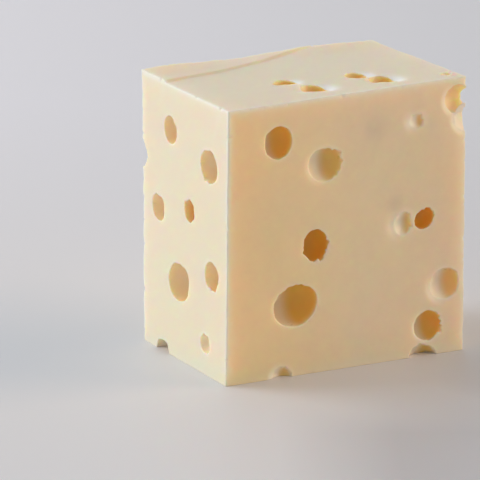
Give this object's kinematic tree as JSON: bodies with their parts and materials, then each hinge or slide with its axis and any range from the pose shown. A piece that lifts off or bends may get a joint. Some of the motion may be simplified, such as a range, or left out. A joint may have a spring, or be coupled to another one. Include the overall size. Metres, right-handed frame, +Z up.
{
  "type": "cheese block",
  "caption": "Hand-cut rectangular block of pale Swiss-style cheese with round gas eyes opened on every cut side; it stands on its flat underside.",
  "frame": {"origin": "under the middle of the block, on the surface it stands on (bottom centre of its bounding box)", "axes": "+Z up along the block's height, which is its longest side; -Y out of its widest cut face, the one with the most eyes shown; +X to the right seen facing that face; Y is its shortest side"},
  "size_m": [0.0975, 0.0662, 0.1011],
  "materials": {
    "cheese": "moist satin, slightly translucent paste; warmer and deeper yellow inside the eyes"
  },
  "bodies": {
    "root": {"cheese_block": "cheese"}
  },
  "joints": []
}
